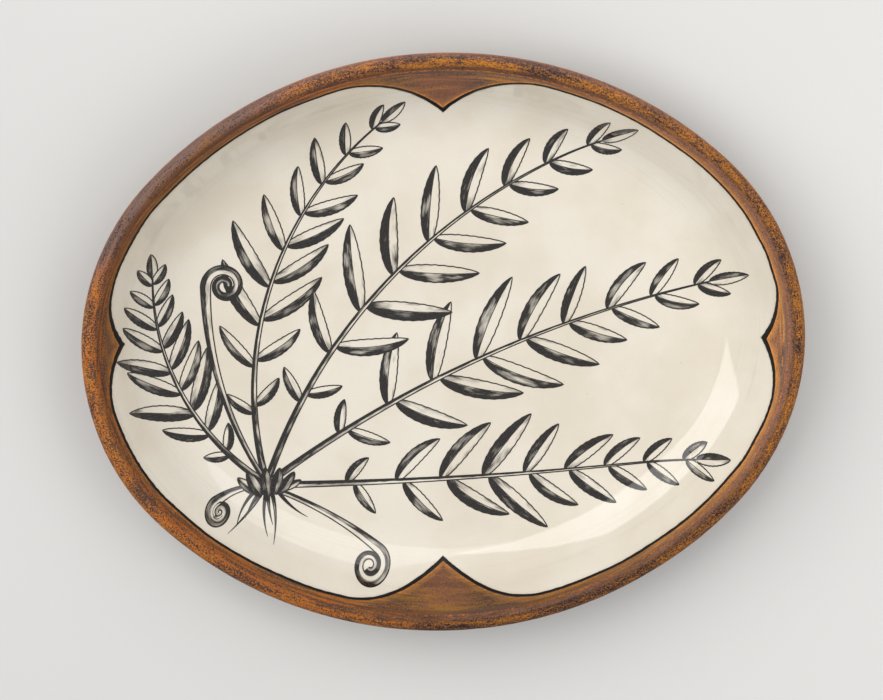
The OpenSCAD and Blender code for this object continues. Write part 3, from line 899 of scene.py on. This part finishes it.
class DISH_OT_drawing(bpy.types.Operator):
    """Draw the fern clump in pencil on the cream glaze"""
    bl_idname = "dish.drawing"
    bl_label = "Drawing"

    def execute(self, context):
        shape, _, colours, drawing = settings()
        lift = drawing.lift / MM
        self.fronds(shape, colours, drawing, lift)
        self.curls(shape, colours, drawing, lift)
        self.roots(shape, colours, drawing, lift)
        self.crown(shape, colours, lift)
        return {"FINISHED"}

    def fronds(self, shape, colours, drawing, lift):
        """Stems on curves of constant bend. Leaflets stand by turns left and right along them, longest two fifths of
        the way up, each bends towards the frond's tip, and one more leaflet ends the frond."""
        random = np.random.default_rng(41)
        count, pairs, stations = len(FRONDS), drawing.pairs, 90
        heading, bend = np.radians(FRONDS[:, 2]), np.radians(FRONDS[:, 3])
        centre, turn = curve(FRONDS[:, :2], heading, bend, FRONDS[:, 4], stations)
        t = np.linspace(0, 1, stations)
        stem = drawing.stem_width / MM * (1 - 0.75 * t) * np.ones((count, 1))
        layer = np.arange(count)
        points, faces, attributes = strips(shape, centre, turn, stem, lift + LAYER * (layer + 0.5),
                                           random.uniform(0.6, 1, size=count))
        draw("fern_stems", (points, faces, attributes), colours, 1.1, -0.1, 0.0)

        part = 0.17 + 0.8 * np.linspace(0, 1, pairs) ** 0.92
        rank = np.concatenate([part, part + 0.022 * (1 - 0.7 * part), [1]])
        lone = np.tile(np.arange(len(rank)) == 2 * pairs, count)
        side = np.tile(np.repeat([1.0, -1.0, 1.0], [pairs, pairs, 1]), count)
        owner, rank = np.repeat(layer, len(rank)), np.tile(np.clip(rank, 0, 1), count)
        at = rank * (stations - 1)
        low = np.minimum(at.astype(int), stations - 2)
        mix = (at - low)[:, None]
        foot = centre[owner, low] * (1 - mix) + centre[owner, low + 1] * mix
        along = heading[owner] + bend[owner] * rank
        fill = (0.35 + 0.65 * smooth_step(rank, 0.1, 0.42)) * np.clip((1.22 - rank) / 0.75, 0, 1) ** 0.9
        fill = np.where(lone, 0.42, fill * random.uniform(0.9, 1.08, len(rank)))
        size = FRONDS[owner, 5] * fill
        open_angle = np.where(lone, 0, np.radians(66 - 22 * rank + random.normal(0, 3.5, len(rank))))
        leaf_bend = np.where(lone, 0.1, -side * np.radians(random.uniform(10, 36, len(rank))))
        leaf_stations, columns = 49, 9
        leaf_centre, leaf_turn = curve(foot, along + side * open_angle, leaf_bend, size, leaf_stations)
        u = np.linspace(0, 1, leaf_stations)
        outline = u ** 0.55 * (1 - u) ** 0.72 / 0.66
        scallops = 1 - 0.05 * np.abs(np.sin(u * np.pi * 9)) ** 1.5 * smooth_step(u, 0.08, 0.25)
        half = drawing.leaflet_width / MM * (0.35 + 0.65 * size / FRONDS[:, 5].max())[:, None] * outline * scallops
        points, faces, attributes = strips(shape, leaf_centre, leaf_turn, half + 0.05,
                                           lift + LAYER * owner + random.uniform(0, 0.005, len(rank)),
                                           side * random.uniform(0.1, 1, len(rank)), columns=columns)
        attributes["stroke"][:, 0] *= np.repeat(side, leaf_stations * (columns + UNDER))
        draw("fern_leaflets", (points, faces, attributes), colours, 1.0, -0.3, 1.0)

    def crown(self, shape, colours, lift):
        """Short blunt scales that overlap where the stems meet."""
        random = np.random.default_rng(53)
        stations = 25
        centre, turn = curve(SCALES[:, :2], np.radians(SCALES[:, 2]), np.radians(SCALES[:, 3]), SCALES[:, 4], stations)
        u = np.linspace(0, 1, stations)
        half = SCALES[:, 5, None] * (u + 0.02) ** 0.35 * (1 - u) ** 0.6 / 0.69 + 0.05
        points, faces, attributes = strips(shape, centre, turn, half, lift + 0.09 + LAYER * np.arange(len(SCALES)),
                                           random.uniform(0.5, 1, size=len(SCALES)))
        draw("fern_crown", (points, faces, attributes), colours, 1.0, 0.35, 0.8)

    def curls(self, shape, colours, drawing, lift):
        """A stem of constant bend that rolls up at its tip: the radius of the roll shrinks evenly as it turns."""
        random = np.random.default_rng(43)
        count, stem_stations, roll_stations = len(CURLS), 60, 120
        heading, bend = np.radians(CURLS[:, 2]), np.radians(CURLS[:, 3])
        centre, turn = curve(CURLS[:, :2], heading, bend, CURLS[:, 4], stem_stations)
        roll = np.linspace(0, 1, roll_stations + 1)[1:]
        sense = np.sign(bend)[:, None]
        total = np.radians(560)
        roll_turn = turn[:, -1:] + sense * total * roll
        radius = CURLS[:, 5, None] * (1 - 0.78 * roll ** 0.8)
        step = radius * total / roll_stations
        path = np.cumsum(np.stack([np.cos(roll_turn) * step, np.sin(roll_turn) * step], -1), 1)
        centre = np.concatenate([centre, centre[:, -1:] + path], 1)
        turn = np.concatenate([turn, roll_turn], 1)
        width = drawing.stem_width / MM
        stem = width * (0.75 + 0.75 * np.linspace(0, 1, stem_stations) ** 2)
        head = width * (1.5 - 0.7 * roll)
        half = np.broadcast_to(np.concatenate([stem, head]), turn.shape)
        points, faces, attributes = strips(shape, centre, turn, half, lift + 0.07 + 0.004 * np.arange(count),
                                           random.uniform(size=count))
        attributes["stroke"][:, 0] *= np.repeat(-sense.ravel(), turn.shape[1] * (COLUMNS + UNDER))
        draw("fern_curls", (points, faces, attributes), colours, 0.95, -0.1, 0.6)

    def roots(self, shape, colours, drawing, lift):
        """Short bent rootlets that thin out towards their tips."""
        random = np.random.default_rng(47)
        stations = 24
        centre, turn = curve(ROOTS[:, :2], np.radians(ROOTS[:, 2]), np.radians(ROOTS[:, 3]), ROOTS[:, 4], stations)
        half = drawing.stem_width / MM * (0.62 - 0.56 * np.linspace(0, 1, stations)) * np.ones((len(ROOTS), 1))
        points, faces, attributes = strips(shape, centre, turn, half, lift + 0.002 * np.arange(len(ROOTS)),
                                           random.uniform(size=len(ROOTS)))
        draw("fern_roots", (points, faces, attributes), colours, 1.2, 0.8, 0.0)


class DISH_OT_stage(bpy.types.Operator):
    """Set the floor, the lights, the world and the camera"""
    bl_idname = "dish.stage"
    bl_label = "Stage"

    def execute(self, context):
        self.floor(context.scene.dish_colours)
        self.light("right softbox", 62, 38, (0.5, 0.88), 1.0, 1.4)
        self.light("left softbox", 144, 43, (2.45, 2.45), 2.6, 2.5)
        self.light("near fill", -25, 35, (0.6, 0.6), 0.75, 1.25).visible_glossy = False
        self.world(context.scene)
        self.camera(context.scene)
        context.scene.view_settings.view_transform = "Standard"
        return {"FINISHED"}

    def floor(self, colours):
        """A disc of radius 6 m, as rings of points round the axis and one point in the middle."""
        turn = np.linspace(0, 2 * np.pi, 97)[:-1]
        radius = np.array([0.4, 1.0, 2.0, 4.0, 6.0])
        x, y = np.cos(turn)[:, None] * radius, np.sin(turn)[:, None] * radius
        points = np.concatenate([np.stack([x, y, 0 * x], -1).reshape(-1, 3), [[0, 0, 0]]])
        i = np.arange(len(turn))
        rows = len(radius)
        faces = loop_quads(len(turn), rows, False).tolist()
        faces += np.stack([np.full(len(turn), len(turn) * rows), i * rows, (i + 1) % len(turn) * rows], -1).tolist()
        mesh = bpy.data.meshes.new("floor")
        mesh.from_pydata(points.tolist(), [], faces)
        mesh.materials.append(floor_material(colours))
        piece = bpy.data.objects.new("floor", mesh)
        bpy.context.scene.collection.objects.link(piece)

    def light(self, name, azimuth, off_axis, size, distance, radiance):
        """A rectangular softbox that is aimed at the dish, azimuth degrees round from the +X axis and off_axis
        degrees from overhead. Its power is its radiance times pi times its area."""
        around, over = math.radians(azimuth), math.radians(off_axis)
        level = Vector((math.cos(around), math.sin(around), 0)) * math.sin(over)
        place = distance * (level + Vector((0, 0, math.cos(over))))
        data = bpy.data.lights.new(name, "AREA")
        data.shape, data.size, data.size_y = "RECTANGLE", size[0], size[1]
        data.energy = radiance * math.pi * size[0] * size[1]
        lamp = bpy.data.objects.new(name, data)
        lamp.location = place
        lamp.rotation_euler = (-place).to_track_quat("-Z", "Y").to_euler()
        bpy.context.scene.collection.objects.link(lamp)
        return lamp

    def world(self, scene):
        """Even pale surroundings."""
        scene.world = bpy.data.worlds.new("studio")
        scene.world.use_nodes = True
        back = scene.world.node_tree.nodes["Background"]
        back.inputs["Color"].default_value = (0.92, 0.93, 0.95, 1)
        back.inputs["Strength"].default_value = 0.49

    def camera(self, scene):
        """Looks down on the dish from 12 degrees off its axis, which is an estimate, towards its far long side, and
        is rolled by 2.92 degrees."""
        tilt, roll = math.radians(12), math.radians(2.92)
        back = Vector((0, math.sin(tilt), math.cos(tilt)))
        level = Vector((0, math.cos(tilt), -math.sin(tilt)))
        right = Vector((math.cos(roll), 0, 0)) - level * math.sin(roll)
        up = Vector((math.sin(roll), 0, 0)) + level * math.cos(roll)
        data = bpy.data.cameras.new("camera")
        data.sensor_width, data.lens = 36, 139.2
        camera = bpy.data.objects.new("camera", data)
        target, distance = Vector((-0.0011, -0.0037, 0.03)), 1.8
        place = target + back * distance
        camera.matrix_world = Matrix.Translation(place) @ Matrix((right, up, back)).transposed().to_4x4()
        scene.collection.objects.link(camera)
        scene.camera = camera


STEPS = (DISH_OT_groups, DISH_OT_clay, DISH_OT_cream, DISH_OT_rust, DISH_OT_line, DISH_OT_drawing, DISH_OT_stage)
GROUPS = (DishSizes, DishColours, DrawingSettings)


class DISH_PT_panel(bpy.types.Panel):
    """Lists the sizes, the colours and the pieces"""
    bl_idname = "DISH_PT_panel"
    bl_label = "Oval serving dish"
    bl_space_type = "VIEW_3D"
    bl_region_type = "UI"
    bl_category = "Dish"

    def draw(self, context):
        layout = self.layout
        for step in STEPS:
            layout.operator(step.bl_idname)
        for holder in ("dish_sizes", "dish_colours", "dish_drawing"):
            box = layout.box()
            data = getattr(context.scene, holder)
            for key in data.__annotations__:
                box.prop(data, key)


def register():
    for kind in (*GROUPS, *STEPS, DISH_PT_panel):
        bpy.utils.register_class(kind)
    bpy.types.Scene.dish_sizes = PointerProperty(type=DishSizes)
    bpy.types.Scene.dish_colours = PointerProperty(type=DishColours)
    bpy.types.Scene.dish_drawing = PointerProperty(type=DrawingSettings)


def unregister():
    for holder in ("dish_sizes", "dish_colours", "dish_drawing"):
        delattr(bpy.types.Scene, holder)
    for kind in reversed((*GROUPS, *STEPS, DISH_PT_panel)):
        bpy.utils.unregister_class(kind)


def main():
    register()
    for step in STEPS:
        group, name = step.bl_idname.split(".")
        getattr(getattr(bpy.ops, group), name)()


if __name__ == "__main__":
    main()
